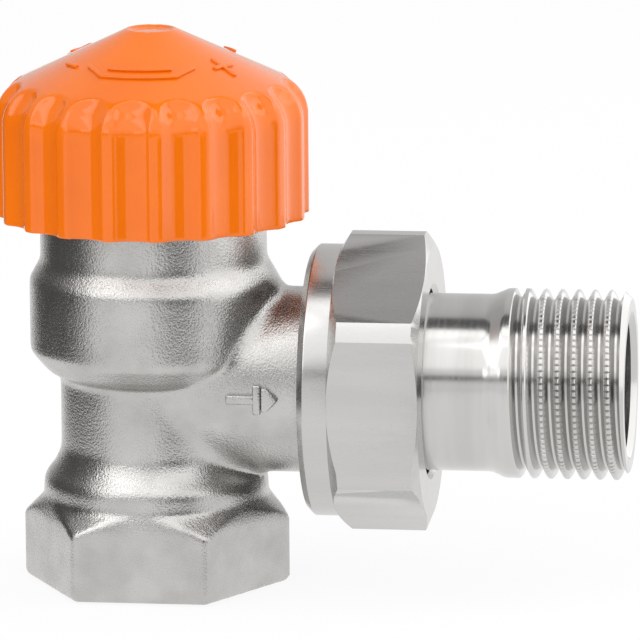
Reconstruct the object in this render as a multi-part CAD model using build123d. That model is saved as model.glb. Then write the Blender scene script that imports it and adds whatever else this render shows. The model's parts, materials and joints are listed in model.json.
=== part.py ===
from build123d import *
import math
import os

# Angle radiator valve with a protective cap, in millimetres.
# The origin is the centre of the inlet face, +Z runs up the valve axis and +X along the outlet.

# Main sizes of the angle pattern and its four outer threads
OUTLET_HEIGHT = 23.0
OUTLET_REACH = 53.0
INLET_THREAD_RADIUS = 9.3155
HEAD_THREAD_RADIUS = 14.9
SPIGOT_THREAD_RADIUS = 13.1
TAIL_THREAD_RADIUS = 10.48

# Clearances
THREAD_GAP = 0.15
SCREWED_GAP = 0.05
RUNNING_GAP = 0.1
SEAL_GAP = 0.03
CONTACT_GAP = 0.05

# Seat, disc and throttle sleeve, from the seat outwards
SEAT_DROP = 6.0
SEAT_BORE_RADIUS = 5.2
SEAT_LIP_HEIGHT = 1.4
SEAT_LIP_WIDTH = 0.7
SEAT_LIP_FOOT = 0.5
SEAT_WEB = 1.6
LIFT = 2.5
DISC_OVERHANG = 0.3
DISC_THICKNESS = 2.0
CARRIER_WALL = 0.6
CARRIER_PLATE = 1.2
CARRIER_RIM = 1.3
CARRIER_HUB_RADIUS = 2.6
CARRIER_HUB_HEIGHT = 1.7
CARRIER_ROOM = 0.65
DISC_NUT_FLATS = 5.5
DISC_NUT_HEIGHT = 1.5
SLEEVE_WALL = 0.85
SLEEVE_FLOOR_GAP = 0.4
SLEEVE_SIDE_GAP = 0.3
SLEEVE_WINDOW_FOOT = 2.0
SLEEVE_WINDOW_HEIGHT = 9.0
SLEEVE_WINDOW_WIDTH = 9.0
SLEEVE_WINDOW_TAPER = 5.0

# Inlet hexagon and the collar above it
INLET_MOUTH_CHAMFER = 1.3
INLET_STOP_CONE = 1.0
INLET_HEX_FLATS = 26.0
INLET_HEX_CORNER_ROUND = 0.8
INLET_HEX_HEIGHT = 8.0
INLET_BOTTOM_CHAMFER = 0.45
INLET_FACE_LEAN = 10.0
INLET_CORNER_SLOPE = 45.0
INLET_CORNER_DROP = 0.7
COLLAR_STEP = 2.0
COLLAR_TOP = 12.0
COLLAR_ROUND = 2.0
COLLAR_SLOPE = 50.0
COLLAR_FLARE = 6.0
BLEND_SINK = 0.15

# Neck, band and head of the body
NECK_WALL = 1.9
BAND_WALL = 4.1
BAND_HEIGHT = 10.85
BAND_ABOVE_OUTLET = 0.5
BAND_UNDERSIDE_RISE = 0.6
BAND_CHAMFER_HEIGHT = 2.9
BAND_CHAMFER_SLOPE = 50.0
BAND_CHAMFER_ROUND = 2.0
SHOULDER_SLOPE = 60.0
SHOULDER_ROUND = 0.9
UPPER_NECK_WALL = 1.75
HEAD_NECK_LENGTH = 8.65
HEAD_THREAD_LENGTH = 7.5
HEAD_CHAMFER = 1.0

# Outlet branch and spigot of the body
BRANCH_STEP = 0.2
BRANCH_UPPER_FILLET = 2.0
BRANCH_LOWER_FILLET = 3.0
SPIGOT_START = 18.9
SPIGOT_LENGTH = 7.6
SPIGOT_CHAMFER = 0.9
CONE_SEAT_WIDTH = 1.7
CONE_SEAT_DEPTH = 1.9
OUTLET_BORE_STEP = 0.7

# Valve insert housing
INSERT_LEDGE = 1.1
INSERT_SEAT_WIDTH = 1.1
INSERT_SEAT_ABOVE_BAND = 0.95
INSERT_END_GAP = 0.2
HOUSING_SPIGOT_LENGTH = 5.8
HOUSING_FLANGE_THICKNESS = 1.7
HOUSING_SPANNER_ROOM = 1.0
HOUSING_HEX_HEIGHT = 4.5
HOUSING_GROOVE_DEPTH = 1.3
HOUSING_GROOVE_LENGTH = 1.6
HOUSING_GROOVE_BELOW_FLANGE = 0.5

# Setting stem with its clip and dial
STEM_RADIUS = 5.1
STEM_FLANGE_THICKNESS = 1.2
STEM_ABOVE_HOUSING = 7.1
STEM_GROOVE_DEPTH = 1.0
STEM_GROOVE_LENGTH = 1.4
STEM_GROOVE_ABOVE_FLANGE = 1.8
STEM_CLIP_THICKNESS = 0.8
STEM_CLIP_BITE = 0.5
STEM_CLIP_WIDTH = 1.6
CLIP_OPENING = 60.0
DIAL_ROOM = 1.4
DIAL_HUB_WALL = 1.85
DIAL_HUB_HEIGHT = 1.6
DIAL_ABOVE_STEM = 2.0
DIAL_RECESS_ROOM = 0.6
DIAL_NOTCHES = 8
DIAL_NOTCH_WIDTH = 1.8
DIAL_NOTCH_DEPTH = 1.2

# Gland nut
GLAND_SHANK_LENGTH = 4.4
GLAND_HEAD_OVERHANG = 0.9
GLAND_HEX_HEIGHT = 2.4
GLAND_GROOVE_DEPTH = 0.9
GLAND_GROOVE_LENGTH = 1.2
GLAND_GROOVE_SPACING = 2.0
GLAND_FIRST_GROOVE = 0.8

# Pressure pin, spindle and return spring
PIN_RADIUS = 1.5
PIN_ABOVE_GLAND = 4.5
PIN_TIP_ROUND = 0.5
PIN_FLANGE_ROOM = 0.7
PIN_FLANGE_THICKNESS = 0.8
SPINDLE_RADIUS = 1.5
SPINDLE_GROOVE_DEPTH = 0.4
SPINDLE_GROOVE_BELOW_TOP = 0.3
SPINDLE_CLIP_ROOM = 0.6
SPINDLE_CLIP_THICKNESS = 0.55
SPINDLE_TAIL = 0.4
WASHER_ROOM = 0.3
WASHER_THICKNESS = 0.6
SPRING_CHAMBER_RADIUS = 3.6
SPRING_CHAMBER_LENGTH = 13.6
SPRING_WIRE = 0.7
SPRING_ROOM = 0.5
SPRING_TURNS = 5

# Union nut
NUT_OVERLAP = 1.2
NUT_COLLAR_LENGTH = 3.3
NUT_COLLAR_WALL = 1.8
NUT_COLLAR_CHAMFER = 0.7
NUT_HEX_WALL = 1.75
NUT_CORNER_TRIM = 0.62
NUT_LEFT_CHAMFER = 1.1
NUT_RIGHT_CHAMFER = 0.7
NUT_SHOULDER = 2.2
NUT_HOLE_GAP = 0.55
NUT_HOLE_CHAMFER = 0.5

# Tailpiece
TAIL_THREAD_LENGTH = 13.6
TAIL_RUNOUT_LENGTH = 1.6
TAIL_END_CHAMFER = 0.9
TAIL_NECK_STEP = 0.68
TAIL_WALL = 2.1
TAIL_COLLAR_ROOM = 0.95
TAIL_COLLAR_LENGTH = 2.0
TAIL_COLLAR_GAP = 0.25
TAIL_NOSE_LENGTH = 1.7
TAIL_NOSE_LAND = 0.8

# Protective cap
CAP_WALL = 2.2
CAP_BELOW_THREAD = 1.7
CAP_APEX_ABOVE_HEAD = 12.9
CAP_SLOPE = 25.25
CAP_SHOULDER_ROUND = 4.5
CAP_DISC_RADIUS = 2.6
CAP_DISC_DEPTH = 0.35
CAP_ROOF = 2.0
CAP_INNER_ROUND = 2.5
CAP_MOUTH_LENGTH = 1.5
CAP_MOUTH_STEP = 0.35
CAP_BOSS_RADIUS = 3.0
FLUTES = 20
FLUTE_DEPTH = 0.85
FLUTE_RADIUS = 3.4
FLUTE_BEND = 44.0
FLUTE_PHASE = 1.0

# Radii of the pieces that fit round each other, from the axis outwards
HEX_CORNER_PER_FLATS = 1 / math.sqrt(3)
LIP_RADIUS = SEAT_BORE_RADIUS + SEAT_LIP_WIDTH
DISC_RADIUS = LIP_RADIUS + DISC_OVERHANG
CARRIER_RADIUS = DISC_RADIUS + CARRIER_WALL
SLEEVE_INNER_RADIUS = CARRIER_RADIUS + CARRIER_ROOM
SLEEVE_OUTER_RADIUS = SLEEVE_INNER_RADIUS + SLEEVE_WALL
CHAMBER_RADIUS = SLEEVE_OUTER_RADIUS + SLEEVE_SIDE_GAP
NECK_RADIUS = CHAMBER_RADIUS + NECK_WALL
COLLAR_RADIUS = NECK_RADIUS + COLLAR_STEP
BRANCH_RADIUS = NECK_RADIUS - BRANCH_STEP
INSERT_BORE_RADIUS = CHAMBER_RADIUS + INSERT_LEDGE
BAND_RADIUS = INSERT_BORE_RADIUS + BAND_WALL
HEAD_BORE_RADIUS = INSERT_BORE_RADIUS + INSERT_SEAT_WIDTH
UPPER_NECK_RADIUS = HEAD_BORE_RADIUS + UPPER_NECK_WALL
SPINDLE_BORE_RADIUS = SPINDLE_RADIUS + RUNNING_GAP
PIN_BORE_RADIUS = PIN_RADIUS + RUNNING_GAP
STEM_BORE_RADIUS = STEM_RADIUS + RUNNING_GAP
SPRING_MEAN_RADIUS = SPRING_CHAMBER_RADIUS - SPRING_ROOM - SPRING_WIRE / 2
GLAND_HEX_FLATS = 2 * (SPRING_CHAMBER_RADIUS + GLAND_HEAD_OVERHANG)
DIAL_RADIUS = HEAD_BORE_RADIUS - DIAL_ROOM
DIAL_HUB_RADIUS = STEM_RADIUS + SCREWED_GAP + DIAL_HUB_WALL
DIAL_RECESS_RADIUS = GLAND_HEX_FLATS * HEX_CORNER_PER_FLATS + DIAL_RECESS_ROOM
HOUSING_HEX_FLATS = (HEAD_BORE_RADIUS - HOUSING_SPANNER_ROOM) / HEX_CORNER_PER_FLATS
CAP_BORE_RADIUS = HEAD_THREAD_RADIUS + THREAD_GAP
CAP_RADIUS = CAP_BORE_RADIUS + CAP_WALL
NUT_BORE_RADIUS = SPIGOT_THREAD_RADIUS + THREAD_GAP
NUT_COLLAR_RADIUS = NUT_BORE_RADIUS + NUT_COLLAR_WALL
NUT_HEX_FLATS = 2 * (NUT_BORE_RADIUS + NUT_HEX_WALL)
TAIL_NECK_RADIUS = TAIL_THREAD_RADIUS - TAIL_NECK_STEP
TAIL_BORE_RADIUS = TAIL_NECK_RADIUS - TAIL_WALL
TAIL_COLLAR_RADIUS = NUT_BORE_RADIUS - TAIL_COLLAR_ROOM
TAIL_NOSE_TIP_RADIUS = TAIL_BORE_RADIUS + TAIL_NOSE_LAND
CONE_SEAT_RADIUS = TAIL_NOSE_TIP_RADIUS + CONE_SEAT_WIDTH
OUTLET_BORE_RADIUS = TAIL_BORE_RADIUS - OUTLET_BORE_STEP
NUT_HOLE_RADIUS = TAIL_NECK_RADIUS + NUT_HOLE_GAP

# Heights up the valve axis
SEAT_Z = OUTLET_HEIGHT - SEAT_DROP
CHAMBER_FLOOR = SEAT_Z - SEAT_LIP_HEIGHT
INLET_STOP_Z = CHAMBER_FLOOR - SEAT_WEB
BAND_FOOT = OUTLET_HEIGHT + BAND_ABOVE_OUTLET
BAND_TOP = BAND_FOOT + BAND_HEIGHT
SHOULDER_RUN = math.tan(math.radians(SHOULDER_SLOPE))
SHOULDER_TOP = BAND_TOP + (BAND_RADIUS - UPPER_NECK_RADIUS) * SHOULDER_RUN
HEAD_THREAD_START = BAND_TOP + HEAD_NECK_LENGTH
HEAD_TOP = HEAD_THREAD_START + HEAD_THREAD_LENGTH
INSERT_SEAT_Z = BAND_TOP + INSERT_SEAT_ABOVE_BAND
HOUSING_BOTTOM = INSERT_SEAT_Z - HOUSING_SPIGOT_LENGTH
CHAMBER_TOP = HOUSING_BOTTOM - INSERT_END_GAP
HOUSING_FLANGE_TOP = INSERT_SEAT_Z + HOUSING_FLANGE_THICKNESS
HOUSING_TOP = HOUSING_FLANGE_TOP + HOUSING_HEX_HEIGHT
STEM_FLANGE_TOP = HOUSING_BOTTOM - RUNNING_GAP
STEM_FLANGE_BOTTOM = STEM_FLANGE_TOP - STEM_FLANGE_THICKNESS
STEM_TOP = HOUSING_TOP + STEM_ABOVE_HOUSING
STEM_CLIP_Z = HOUSING_TOP + RUNNING_GAP
DIAL_BOTTOM = STEM_CLIP_Z + STEM_CLIP_THICKNESS + CONTACT_GAP
DIAL_TOP = STEM_TOP + DIAL_ABOVE_STEM
SPRING_FLOOR = STEM_TOP - SPRING_CHAMBER_LENGTH
GLAND_BOTTOM = STEM_TOP - GLAND_SHANK_LENGTH
GLAND_TOP = STEM_TOP + GLAND_HEX_HEIGHT
PIN_TOP = GLAND_TOP + PIN_ABOVE_GLAND
PIN_FLANGE_TOP = GLAND_BOTTOM - RUNNING_GAP
SPINDLE_TOP = PIN_FLANGE_TOP - PIN_FLANGE_THICKNESS
SPINDLE_CLIP_Z = SPINDLE_TOP - SPINDLE_GROOVE_BELOW_TOP - SPINDLE_CLIP_THICKNESS
WASHER_Z = SPINDLE_CLIP_Z - WASHER_THICKNESS
DISC_Z = SEAT_Z + LIFT + CONTACT_GAP
CARRIER_Z = DISC_Z + DISC_THICKNESS
DISC_NUT_Z = DISC_Z - DISC_NUT_HEIGHT
CAP_RIM_HEIGHT = HEAD_THREAD_START - CAP_BELOW_THREAD
CAP_APEX = HEAD_TOP + CAP_APEX_ABOVE_HEAD
CAP_TAN = math.tan(math.radians(CAP_SLOPE))

# Places along the outlet
SPIGOT_END = SPIGOT_START + SPIGOT_LENGTH
TAIL_COLLAR_START = SPIGOT_END + TAIL_COLLAR_GAP
TAIL_COLLAR_END = TAIL_COLLAR_START + TAIL_COLLAR_LENGTH
TAIL_THREAD_START = OUTLET_REACH - TAIL_THREAD_LENGTH
NUT_START = SPIGOT_START - NUT_OVERLAP
NUT_HEX_START = NUT_START + NUT_COLLAR_LENGTH
NUT_SHOULDER_X = TAIL_COLLAR_END + CONTACT_GAP
NUT_END = NUT_SHOULDER_X + NUT_SHOULDER

OUTLET_PLANE = Plane((0, 0, OUTLET_HEIGHT), x_dir=(0, 1, 0), z_dir=(1, 0, 0))


def turned(*corners):
    """Turn a closed outline about Z; each corner is (radius, height) with an optional rounding.

    The turned faces close on the -X side, away from the outlet branch.
    """
    points = [corner[:2] for corner in corners]
    rounds = [corner[2] if len(corner) > 2 else 0 for corner in corners]
    outline = FilletPolyline(*points, radius=rounds, close=True)
    return Rot(0, 0, 180) * revolve(make_face(Plane.XZ * outline), Axis.Z)


def ring(inner, outer, bottom, top):
    """A plain ring or tube about Z."""
    return turned((inner, bottom), (outer, bottom), (outer, top), (inner, top))


def rod(radius, bottom, top):
    """A plain cylinder about Z."""
    return turned((0, bottom), (radius, bottom), (radius, top), (0, top))


def hexagon(flats, bottom, top, turn=0, corner_round=0):
    """A hexagonal prism about Z; at turn 0 two corners lie on the X axis."""
    outline = RegularPolygon(flats / 2, 6, major_radius=False, rotation=turn)
    if corner_round > 0:
        outline = fillet(outline.vertices(), corner_round)
    return Pos(0, 0, bottom) * extrude(outline, top - bottom)


def o_ring(inner, outer, middle):
    """A round-section ring that fills a groove between two radii."""
    section = (outer - inner) / 2 - SEAL_GAP
    return Pos(0, 0, middle) * Torus((inner + outer) / 2, section)


def open_clip(inner, outer, bottom, thickness):
    """A flat ring with one opening, for snapping into a groove."""
    half = math.radians(CLIP_OPENING / 2)
    reach = 2 * outer
    mouth = Polyline((0, 0), (reach, reach * math.tan(half)), (reach, -reach * math.tan(half)), close=True)
    gap = Pos(0, 0, bottom) * extrude(make_face(mouth), thickness)
    return ring(inner, outer, bottom, bottom + thickness) - gap


def outlet_branch():
    return OUTLET_PLANE * rod(BRANCH_RADIUS, 0, SPIGOT_START)


def branch_tee(post_radius, fillet_radius):
    """An upright post with the outlet branch growing out of it through a fillet all round."""
    post = rod(post_radius, -OUTLET_HEIGHT, 3 * OUTLET_HEIGHT)
    tee = post + outlet_branch()
    seam = [edge for edge in tee.edges() if edge.geom_type not in (GeomType.CIRCLE, GeomType.LINE)]
    return fillet(seam, fillet_radius)


def inlet_hexagon():
    """The spanner hexagon: its faces lean in above to meet the collar, and a cone takes off the upper corners."""
    corner = INLET_HEX_FLATS * HEX_CORNER_PER_FLATS
    upright = hexagon(INLET_HEX_FLATS, 0, INLET_HEX_HEIGHT, corner_round=INLET_HEX_CORNER_ROUND)
    upright = chamfer(upright.edges().group_by(Axis.Z)[0], INLET_BOTTOM_CHAMFER)
    lean = (INLET_HEX_FLATS / 2 - COLLAR_RADIUS) / math.tan(math.radians(INLET_FACE_LEAN))
    outline = RegularPolygon(INLET_HEX_FLATS / 2, 6, major_radius=False)
    leaning = Pos(0, 0, INLET_HEX_HEIGHT) * extrude(outline, lean, taper=INLET_FACE_LEAN)
    cone_foot = INLET_HEX_HEIGHT - INLET_CORNER_DROP
    cone_rise = (corner - COLLAR_RADIUS) * math.tan(math.radians(INLET_CORNER_SLOPE))
    top = max(INLET_HEX_HEIGHT + lean, cone_foot + cone_rise)
    envelope = turned(
        (0, 0),
        (corner, 0),
        (corner, cone_foot),
        (COLLAR_RADIUS, cone_foot + cone_rise),
        (COLLAR_RADIUS, top + COLLAR_STEP),
        (0, top + COLLAR_STEP),
    )
    return (upright + leaning) & envelope


def inlet_collar():
    """The round collar on the hexagon; its flare runs a little way into the neck."""
    foot = INLET_HEX_HEIGHT / 2
    inside = NECK_RADIUS - BLEND_SINK
    rise = (COLLAR_RADIUS - inside) * math.tan(math.radians(COLLAR_SLOPE))
    return turned(
        (0, foot),
        (COLLAR_RADIUS, foot),
        (COLLAR_RADIUS, COLLAR_TOP, COLLAR_ROUND),
        (inside, COLLAR_TOP + rise, COLLAR_FLARE),
        (inside, OUTLET_HEIGHT),
        (0, OUTLET_HEIGHT),
    )


def band_space():
    """The space that the band, its shoulder and the upper neck fill; its rim takes in the branch fillet."""
    climb = math.tan(math.radians(BAND_CHAMFER_SLOPE))
    chamfer_top = BAND_FOOT + BAND_CHAMFER_HEIGHT
    chamfer_foot = BAND_FOOT + BAND_UNDERSIDE_RISE
    rim = (BAND_TOP - chamfer_top) / (climb + SHOULDER_RUN)
    return turned(
        (0, BAND_FOOT),
        (NECK_RADIUS - BLEND_SINK, BAND_FOOT),
        (BAND_RADIUS - (chamfer_top - chamfer_foot) / climb, chamfer_foot, BAND_CHAMFER_ROUND),
        (BAND_RADIUS + rim, chamfer_top + rim * climb),
        (UPPER_NECK_RADIUS, SHOULDER_TOP, SHOULDER_ROUND),
        (UPPER_NECK_RADIUS, HEAD_THREAD_START),
        (0, HEAD_THREAD_START),
    )


def thread_barrel(radius, chamfer, bottom, top):
    """A plain barrel for an outside thread, with chamfered ends."""
    return turned(
        (0, bottom),
        (radius - chamfer, bottom),
        (radius, bottom + chamfer),
        (radius, top - chamfer),
        (radius - chamfer, top),
        (0, top),
    )


def body_outside():
    neck_space = rod(2 * SPIGOT_START, INLET_HEX_HEIGHT / 2, BAND_FOOT + BAND_UNDERSIDE_RISE / 2)
    lower = branch_tee(NECK_RADIUS, BRANCH_LOWER_FILLET) & neck_space
    upper = branch_tee(BAND_RADIUS, BRANCH_UPPER_FILLET) & band_space()
    casting = upper + outlet_branch() + lower + inlet_collar() + inlet_hexagon()
    head = thread_barrel(HEAD_THREAD_RADIUS, HEAD_CHAMFER, HEAD_THREAD_START, HEAD_TOP)
    spigot = OUTLET_PLANE * thread_barrel(SPIGOT_THREAD_RADIUS, SPIGOT_CHAMFER, SPIGOT_START, SPIGOT_END)
    return casting + head + spigot


def valve_body():
    inlet = turned(
        (0, -1),
        (INLET_THREAD_RADIUS + INLET_MOUTH_CHAMFER + 1, -1),
        (INLET_THREAD_RADIUS, INLET_MOUTH_CHAMFER),
        (INLET_THREAD_RADIUS, INLET_STOP_Z - INLET_STOP_CONE),
        (SEAT_BORE_RADIUS, INLET_STOP_Z),
        (SEAT_BORE_RADIUS, SEAT_Z),
        (0, SEAT_Z),
    )
    chamber = turned(
        (0, SEAT_Z),
        (LIP_RADIUS, SEAT_Z),
        (LIP_RADIUS + SEAT_LIP_FOOT, CHAMBER_FLOOR),
        (CHAMBER_RADIUS, CHAMBER_FLOOR),
        (CHAMBER_RADIUS, CHAMBER_TOP),
        (INSERT_BORE_RADIUS, CHAMBER_TOP),
        (INSERT_BORE_RADIUS, INSERT_SEAT_Z),
        (HEAD_BORE_RADIUS, INSERT_SEAT_Z),
        (HEAD_BORE_RADIUS, HEAD_TOP + 1),
        (0, HEAD_TOP + 1),
    )
    outlet = OUTLET_PLANE * turned(
        (0, 0),
        (OUTLET_BORE_RADIUS, 0),
        (OUTLET_BORE_RADIUS, SPIGOT_END - CONE_SEAT_DEPTH),
        (TAIL_NOSE_TIP_RADIUS + RUNNING_GAP, SPIGOT_END - CONE_SEAT_DEPTH),
        (CONE_SEAT_RADIUS, SPIGOT_END),
        (CONE_SEAT_RADIUS, SPIGOT_END + 1),
        (0, SPIGOT_END + 1),
    )
    return body_outside() - inlet - chamber - outlet


def insert_housing():
    spigot_radius = INSERT_BORE_RADIUS - SCREWED_GAP
    groove_top = INSERT_SEAT_Z - HOUSING_GROOVE_BELOW_FLANGE
    groove_bottom = groove_top - HOUSING_GROOVE_LENGTH
    groove_radius = INSERT_BORE_RADIUS - HOUSING_GROOVE_DEPTH
    flange_radius = HEAD_BORE_RADIUS - RUNNING_GAP
    shape = turned(
        (STEM_BORE_RADIUS, HOUSING_BOTTOM),
        (spigot_radius, HOUSING_BOTTOM),
        (spigot_radius, groove_bottom),
        (groove_radius, groove_bottom),
        (groove_radius, groove_top),
        (spigot_radius, groove_top),
        (spigot_radius, INSERT_SEAT_Z),
        (flange_radius, INSERT_SEAT_Z),
        (flange_radius, HOUSING_FLANGE_TOP),
        (STEM_BORE_RADIUS, HOUSING_FLANGE_TOP),
    )
    nut = hexagon(HOUSING_HEX_FLATS, HOUSING_FLANGE_TOP, HOUSING_TOP)
    return shape + nut - rod(STEM_BORE_RADIUS, HOUSING_BOTTOM, HOUSING_TOP)


def housing_o_ring():
    middle = INSERT_SEAT_Z - HOUSING_GROOVE_BELOW_FLANGE - HOUSING_GROOVE_LENGTH / 2
    return o_ring(INSERT_BORE_RADIUS - HOUSING_GROOVE_DEPTH, INSERT_BORE_RADIUS, middle)


def setting_stem():
    groove_radius = STEM_RADIUS - STEM_GROOVE_DEPTH
    groove_bottom = STEM_FLANGE_TOP + STEM_GROOVE_ABOVE_FLANGE
    groove_top = groove_bottom + STEM_GROOVE_LENGTH
    clip_radius = STEM_RADIUS - STEM_CLIP_BITE
    clip_top = STEM_CLIP_Z + STEM_CLIP_THICKNESS
    return turned(
        (SPINDLE_BORE_RADIUS, STEM_FLANGE_BOTTOM),
        (SLEEVE_INNER_RADIUS, STEM_FLANGE_BOTTOM),
        (SLEEVE_INNER_RADIUS, STEM_FLANGE_TOP),
        (STEM_RADIUS, STEM_FLANGE_TOP),
        (STEM_RADIUS, groove_bottom),
        (groove_radius, groove_bottom),
        (groove_radius, groove_top),
        (STEM_RADIUS, groove_top),
        (STEM_RADIUS, STEM_CLIP_Z),
        (clip_radius, STEM_CLIP_Z),
        (clip_radius, clip_top),
        (STEM_RADIUS, clip_top),
        (STEM_RADIUS, STEM_TOP),
        (SPRING_CHAMBER_RADIUS, STEM_TOP),
        (SPRING_CHAMBER_RADIUS, SPRING_FLOOR),
        (SPINDLE_BORE_RADIUS, SPRING_FLOOR),
    )


def stem_o_ring():
    middle = STEM_FLANGE_TOP + STEM_GROOVE_ABOVE_FLANGE + STEM_GROOVE_LENGTH / 2
    return o_ring(STEM_RADIUS - STEM_GROOVE_DEPTH, STEM_BORE_RADIUS, middle)


def stem_clip():
    inner = STEM_RADIUS - STEM_CLIP_BITE
    return open_clip(inner, inner + STEM_CLIP_WIDTH, STEM_CLIP_Z, STEM_CLIP_THICKNESS)


def throttle_sleeve():
    bottom = CHAMBER_FLOOR + SLEEVE_FLOOR_GAP
    tube = ring(SLEEVE_INNER_RADIUS, SLEEVE_OUTER_RADIUS, bottom, STEM_FLANGE_TOP)
    foot = bottom + SLEEVE_WINDOW_FOOT
    half = SLEEVE_WINDOW_WIDTH / 2
    outline = Polyline(
        (-half, foot + SLEEVE_WINDOW_TAPER),
        (half, foot),
        (half, foot + SLEEVE_WINDOW_HEIGHT),
        (-half, foot + SLEEVE_WINDOW_HEIGHT),
        close=True,
    )
    window = extrude(Plane.YZ * make_face(outline), CHAMBER_RADIUS)
    return tube - window


def setting_dial():
    hole = STEM_RADIUS + SCREWED_GAP
    crown = turned(
        (hole, DIAL_BOTTOM),
        (DIAL_HUB_RADIUS, DIAL_BOTTOM),
        (DIAL_HUB_RADIUS, DIAL_BOTTOM + DIAL_HUB_HEIGHT),
        (DIAL_RADIUS, DIAL_BOTTOM + DIAL_HUB_HEIGHT),
        (DIAL_RADIUS, DIAL_TOP),
        (DIAL_RECESS_RADIUS, DIAL_TOP),
        (DIAL_RECESS_RADIUS, STEM_TOP),
        (hole, STEM_TOP),
    )
    notch = Pos(DIAL_RADIUS, 0, DIAL_TOP) * Box(
        2 * DIAL_NOTCH_DEPTH, DIAL_NOTCH_WIDTH, 2 * DIAL_ABOVE_STEM
    )
    for step in range(DIAL_NOTCHES):
        crown -= Rot(0, 0, step * 360 / DIAL_NOTCHES) * notch
    return crown


def gland_groove_bottom(index):
    return GLAND_BOTTOM + GLAND_FIRST_GROOVE + index * GLAND_GROOVE_SPACING


def gland_nut():
    shank = rod(SPRING_CHAMBER_RADIUS - SCREWED_GAP, GLAND_BOTTOM, STEM_TOP)
    nut = shank + hexagon(GLAND_HEX_FLATS, STEM_TOP, GLAND_TOP)
    nut -= rod(PIN_BORE_RADIUS, GLAND_BOTTOM, GLAND_TOP)
    for index in range(2):
        foot = gland_groove_bottom(index)
        nut -= rod(PIN_RADIUS + GLAND_GROOVE_DEPTH, foot, foot + GLAND_GROOVE_LENGTH)
    return nut


def gland_o_ring(index):
    middle = gland_groove_bottom(index) + GLAND_GROOVE_LENGTH / 2
    return o_ring(PIN_RADIUS, PIN_RADIUS + GLAND_GROOVE_DEPTH, middle)


def pressure_pin():
    flange_radius = SPRING_CHAMBER_RADIUS - PIN_FLANGE_ROOM
    return turned(
        (0, SPINDLE_TOP),
        (flange_radius, SPINDLE_TOP),
        (flange_radius, PIN_FLANGE_TOP),
        (PIN_RADIUS, PIN_FLANGE_TOP),
        (PIN_RADIUS, PIN_TOP, PIN_TIP_ROUND),
        (0, PIN_TOP),
    )


def spindle():
    groove_radius = SPINDLE_RADIUS - SPINDLE_GROOVE_DEPTH
    groove_top = SPINDLE_CLIP_Z + SPINDLE_CLIP_THICKNESS
    return turned(
        (0, DISC_NUT_Z - SPINDLE_TAIL),
        (SPINDLE_RADIUS, DISC_NUT_Z - SPINDLE_TAIL),
        (SPINDLE_RADIUS, SPINDLE_CLIP_Z),
        (groove_radius, SPINDLE_CLIP_Z),
        (groove_radius, groove_top),
        (SPINDLE_RADIUS, groove_top),
        (SPINDLE_RADIUS, SPINDLE_TOP),
        (0, SPINDLE_TOP),
    )


def spindle_clip():
    inner = SPINDLE_RADIUS - SPINDLE_GROOVE_DEPTH
    outer = SPRING_CHAMBER_RADIUS - SPINDLE_CLIP_ROOM
    return open_clip(inner, outer, SPINDLE_CLIP_Z, SPINDLE_CLIP_THICKNESS)


def spring_washer():
    return ring(SPINDLE_BORE_RADIUS, SPRING_CHAMBER_RADIUS - WASHER_ROOM, WASHER_Z, SPINDLE_CLIP_Z)


def return_spring():
    bottom = SPRING_FLOOR + SPRING_WIRE / 2
    height = WASHER_Z - SPRING_FLOOR - SPRING_WIRE
    path = Pos(0, 0, bottom) * Helix(height / SPRING_TURNS, height, SPRING_MEAN_RADIUS)
    start = Plane(origin=path @ 0, z_dir=path % 0)
    return sweep(start * Circle(SPRING_WIRE / 2), path=path)


def disc_carrier():
    hole = SPINDLE_RADIUS + SCREWED_GAP
    plate_top = CARRIER_Z + CARRIER_PLATE
    return turned(
        (hole, CARRIER_Z),
        (DISC_RADIUS, CARRIER_Z),
        (DISC_RADIUS, CARRIER_Z - CARRIER_RIM),
        (CARRIER_RADIUS, CARRIER_Z - CARRIER_RIM),
        (CARRIER_RADIUS, plate_top),
        (CARRIER_HUB_RADIUS, plate_top),
        (CARRIER_HUB_RADIUS, plate_top + CARRIER_HUB_HEIGHT),
        (hole, plate_top + CARRIER_HUB_HEIGHT),
    )


def disc_seal():
    return ring(SPINDLE_RADIUS + SCREWED_GAP, DISC_RADIUS - SEAL_GAP, DISC_Z, CARRIER_Z)


def disc_nut():
    nut = hexagon(DISC_NUT_FLATS, DISC_NUT_Z, DISC_Z)
    return nut - rod(SPINDLE_RADIUS + SCREWED_GAP, DISC_NUT_Z, DISC_Z)


def union_nut():
    corner_radius = NUT_HEX_FLATS * HEX_CORNER_PER_FLATS - NUT_CORNER_TRIM
    envelope = turned(
        (0, NUT_HEX_START),
        (NUT_HEX_FLATS / 2, NUT_HEX_START),
        (corner_radius, NUT_HEX_START + NUT_LEFT_CHAMFER),
        (corner_radius, NUT_END - NUT_RIGHT_CHAMFER),
        (NUT_HEX_FLATS / 2, NUT_END),
        (0, NUT_END),
    )
    prism = hexagon(NUT_HEX_FLATS, NUT_HEX_START, NUT_END, turn=30) & envelope
    collar = turned(
        (0, NUT_START),
        (NUT_COLLAR_RADIUS - NUT_COLLAR_CHAMFER, NUT_START),
        (NUT_COLLAR_RADIUS, NUT_START + NUT_COLLAR_CHAMFER),
        (NUT_COLLAR_RADIUS, NUT_HEX_START),
        (0, NUT_HEX_START),
    )
    inside = turned(
        (0, NUT_START),
        (NUT_BORE_RADIUS, NUT_START),
        (NUT_BORE_RADIUS, NUT_SHOULDER_X),
        (NUT_HOLE_RADIUS, NUT_SHOULDER_X),
        (NUT_HOLE_RADIUS, NUT_END - NUT_HOLE_CHAMFER),
        (NUT_HOLE_RADIUS + NUT_HOLE_CHAMFER, NUT_END),
        (0, NUT_END),
    )
    return OUTLET_PLANE * (prism + collar - inside)


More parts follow.
